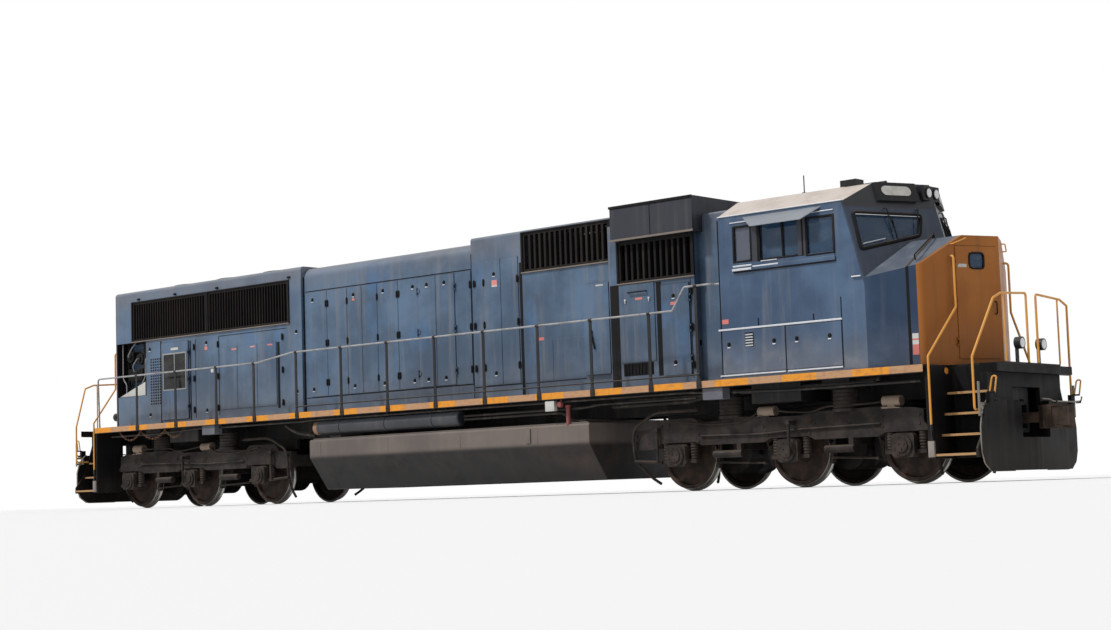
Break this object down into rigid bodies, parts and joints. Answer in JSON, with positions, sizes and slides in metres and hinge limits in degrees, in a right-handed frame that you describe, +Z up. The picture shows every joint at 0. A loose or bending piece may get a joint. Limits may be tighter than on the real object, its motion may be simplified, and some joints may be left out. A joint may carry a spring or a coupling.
{
  "type": "six-axle diesel-electric freight locomotive",
  "caption": "Six-axle diesel-electric freight locomotive with a wide nose, forward cab, hooded engine room between side walkways, underslung fuel tank and knuckle couplers.",
  "frame": {"origin": "middle of the plan between the coupler pulling faces, on the plane under the wheel flanges", "axes": "+X forward towards the cab and nose, +Y the locomotive's left, +Z up"},
  "size_m": [22.56, 3.44, 4.8298],
  "materials": {
    "blue_paint": "weathered semi-gloss",
    "navy_paint": "weathered semi-gloss",
    "yellow_paint": "weathered semi-gloss",
    "black_paint": "dusty satin",
    "tank_paint": "dusty satin",
    "cast_frame": "brake dust and grease",
    "wheel_steel": "rusty plate with bright tread",
    "window_glass": "tinted",
    "rail_paint": "worn",
    "seat_vinyl": "matte",
    "cab_lining": "satin",
    "engine_paint": "oily"
  },
  "bodies": {
    "locomotive": {"air_reservoirs": "black_paint", "brake_hood": "blue_paint", "cab_fittings": "cab_lining", "cab_glass": "window_glass", "cab_shell": "navy_paint", "cooler_cores": "blue_paint", "cooling_box": "black_paint", "cooling_hood": "blue_paint", "end_handrails": "yellow_paint", "engine": "engine_paint", "engine_hood": "blue_paint", "fan_rings": "black_paint", "fuel_tank": "tank_paint", "handrail_posts": "black_paint", "lamps": "black_paint", "link_hood": "blue_paint", "nose_shell": "yellow_paint", "pilots": "black_paint", "radiator_hood": "blue_paint", "roof_gear": "black_paint", "seat_cushions": "seat_vinyl", "side_grilles": "black_paint", "side_handrails": "rail_paint", "silencer_hood": "blue_paint", "steps": "black_paint", "sunshades": "blue_paint", "underframe": "black_paint"},
    "wheelset_1": {"wheelset_1": "wheel_steel"},
    "wheelset_2": {"wheelset_2": "wheel_steel"},
    "wheelset_3": {"wheelset_3": "wheel_steel"},
    "wheelset_4": {"wheelset_4": "wheel_steel"},
    "wheelset_5": {"wheelset_5": "wheel_steel"},
    "wheelset_6": {"wheelset_6": "wheel_steel"},
    "bogie_front": {"bogie_frame_front": "cast_frame", "axle_boxes_front": "cast_frame", "traction_motors_front": "cast_frame"},
    "coupler_front": {"coupler_front": "cast_frame"},
    "knuckle_front": {"knuckle_front": "cast_frame"},
    "bogie_rear": {"bogie_frame_rear": "cast_frame", "axle_boxes_rear": "cast_frame", "traction_motors_rear": "cast_frame"},
    "coupler_rear": {"coupler_rear": "cast_frame"},
    "knuckle_rear": {"knuckle_rear": "cast_frame"},
    "radiator_fan_1": {"radiator_fan_1": "black_paint"},
    "radiator_fan_2": {"radiator_fan_2": "black_paint"},
    "radiator_fan_3": {"radiator_fan_3": "black_paint"},
    "brake_fan_1": {"brake_fan_1": "black_paint"},
    "brake_fan_2": {"brake_fan_2": "black_paint"},
    "nose_door": {"nose_door": "yellow_paint", "nose_door_glass": "window_glass"},
    "cab_door": {"cab_door": "blue_paint"},
    "engine_door_right_1": {"engine_door_right_1": "blue_paint"},
    "engine_door_right_2": {"engine_door_right_2": "blue_paint"},
    "room_door_right": {"room_door_right": "blue_paint"},
    "cabinet_door_right": {"cabinet_door_right": "blue_paint"},
    "engine_door_left_1": {"engine_door_left_1": "blue_paint"},
    "engine_door_left_2": {"engine_door_left_2": "blue_paint"},
    "room_door_left": {"room_door_left": "blue_paint"},
    "cabinet_door_left": {"cabinet_door_left": "blue_paint"}
  },
  "joints": [
    {"name": "bogie_front_yaw", "type": "hinge", "parent": "locomotive", "child": "bogie_front", "pos_m": [7.17, 0, 1], "axis": [0, 0, 1], "range_deg": [-4, 4]},
    {"name": "bogie_rear_yaw", "type": "hinge", "parent": "locomotive", "child": "bogie_rear", "pos_m": [-7.17, 0, 1], "axis": [0, 0, 1], "range_deg": [-4, 4]},
    {"name": "wheelset_1_spin", "type": "hinge", "parent": "bogie_front", "child": "wheelset_1", "pos_m": [9.24, 0, 0.5614], "axis": [0, 1, 0], "continuous": true},
    {"name": "wheelset_2_spin", "type": "hinge", "parent": "bogie_front", "child": "wheelset_2", "pos_m": [7.227, 0, 0.5614], "axis": [0, 1, 0], "continuous": true},
    {"name": "wheelset_3_spin", "type": "hinge", "parent": "bogie_front", "child": "wheelset_3", "pos_m": [5.1, 0, 0.5614], "axis": [0, 1, 0], "continuous": true},
    {"name": "wheelset_4_spin", "type": "hinge", "parent": "bogie_rear", "child": "wheelset_4", "pos_m": [-5.1, 0, 0.5614], "axis": [0, 1, 0], "continuous": true},
    {"name": "wheelset_5_spin", "type": "hinge", "parent": "bogie_rear", "child": "wheelset_5", "pos_m": [-7.227, 0, 0.5614], "axis": [0, 1, 0], "continuous": true},
    {"name": "wheelset_6_spin", "type": "hinge", "parent": "bogie_rear", "child": "wheelset_6", "pos_m": [-9.24, 0, 0.5614], "axis": [0, 1, 0], "continuous": true},
    {"name": "radiator_fan_1_spin", "type": "hinge", "parent": "locomotive", "child": "radiator_fan_1", "pos_m": [-8.18, 0, 4.5], "axis": [0, 0, 1], "continuous": true},
    {"name": "radiator_fan_2_spin", "type": "hinge", "parent": "locomotive", "child": "radiator_fan_2", "pos_m": [-6.79, 0, 4.5], "axis": [0, 0, 1], "continuous": true},
    {"name": "radiator_fan_3_spin", "type": "hinge", "parent": "locomotive", "child": "radiator_fan_3", "pos_m": [-5.34, 0, 4.5], "axis": [0, 0, 1], "continuous": true},
    {"name": "brake_fan_1_spin", "type": "hinge", "parent": "locomotive", "child": "brake_fan_1", "pos_m": [2.2, 0, 4.5], "axis": [0, 0, 1], "continuous": true},
    {"name": "brake_fan_2_spin", "type": "hinge", "parent": "locomotive", "child": "brake_fan_2", "pos_m": [3.24, 0, 4.5], "axis": [0, 0, 1], "continuous": true},
    {"name": "coupler_front_swing", "type": "hinge", "parent": "locomotive", "child": "coupler_front", "pos_m": [10.05, 0, 0.904], "axis": [0, 0, 1], "range_deg": [-7, 7]},
    {"name": "knuckle_front_open", "type": "hinge", "parent": "coupler_front", "child": "knuckle_front", "pos_m": [11.15, -0.165, 0.904], "axis": [0, 0, -1], "range_deg": [0, 45]},
    {"name": "coupler_rear_swing", "type": "hinge", "parent": "locomotive", "child": "coupler_rear", "pos_m": [-10.05, 0, 0.904], "axis": [0, 0, 1], "range_deg": [-7, 7]},
    {"name": "knuckle_rear_open", "type": "hinge", "parent": "coupler_rear", "child": "knuckle_rear", "pos_m": [-11.15, 0.165, 0.904], "axis": [0, 0, -1], "range_deg": [0, 45]},
    {"name": "nose_door_open", "type": "hinge", "parent": "locomotive", "child": "nose_door", "pos_m": [10.01197, -0.74302, 2.6], "axis": [0, 0, -1], "range_deg": [0, 90]},
    {"name": "cab_door_open", "type": "hinge", "parent": "locomotive", "child": "cab_door", "pos_m": [6.273, 1.42, 2.9], "axis": [0, 0, -1], "range_deg": [0, 90]},
    {"name": "engine_door_right_1_open", "type": "hinge", "parent": "locomotive", "child": "engine_door_right_1", "pos_m": [-0.84, -0.977, 3], "axis": [0, 0, -1], "range_deg": [0, 110]},
    {"name": "engine_door_right_2_open", "type": "hinge", "parent": "locomotive", "child": "engine_door_right_2", "pos_m": [0.09, -0.977, 3], "axis": [0, 0, 1], "range_deg": [0, 110]},
    {"name": "room_door_right_open", "type": "hinge", "parent": "locomotive", "child": "room_door_right", "pos_m": [-7.41, -1.037, 2.6], "axis": [0, 0, 1], "range_deg": [0, 30]},
    {"name": "cabinet_door_right_open", "type": "hinge", "parent": "locomotive", "child": "cabinet_door_right", "pos_m": [5.4, -1.097, 2.6], "axis": [0, 0, 1], "range_deg": [0, 45]},
    {"name": "engine_door_left_1_open", "type": "hinge", "parent": "locomotive", "child": "engine_door_left_1", "pos_m": [-0.84, 0.977, 3], "axis": [0, 0, 1], "range_deg": [0, 110]},
    {"name": "engine_door_left_2_open", "type": "hinge", "parent": "locomotive", "child": "engine_door_left_2", "pos_m": [0.09, 0.977, 3], "axis": [0, 0, -1], "range_deg": [0, 110]},
    {"name": "room_door_left_open", "type": "hinge", "parent": "locomotive", "child": "room_door_left", "pos_m": [-7.41, 1.037, 2.6], "axis": [0, 0, -1], "range_deg": [0, 30]},
    {"name": "cabinet_door_left_open", "type": "hinge", "parent": "locomotive", "child": "cabinet_door_left", "pos_m": [5.4, 1.097, 2.6], "axis": [0, 0, -1], "range_deg": [0, 45]}
  ]
}
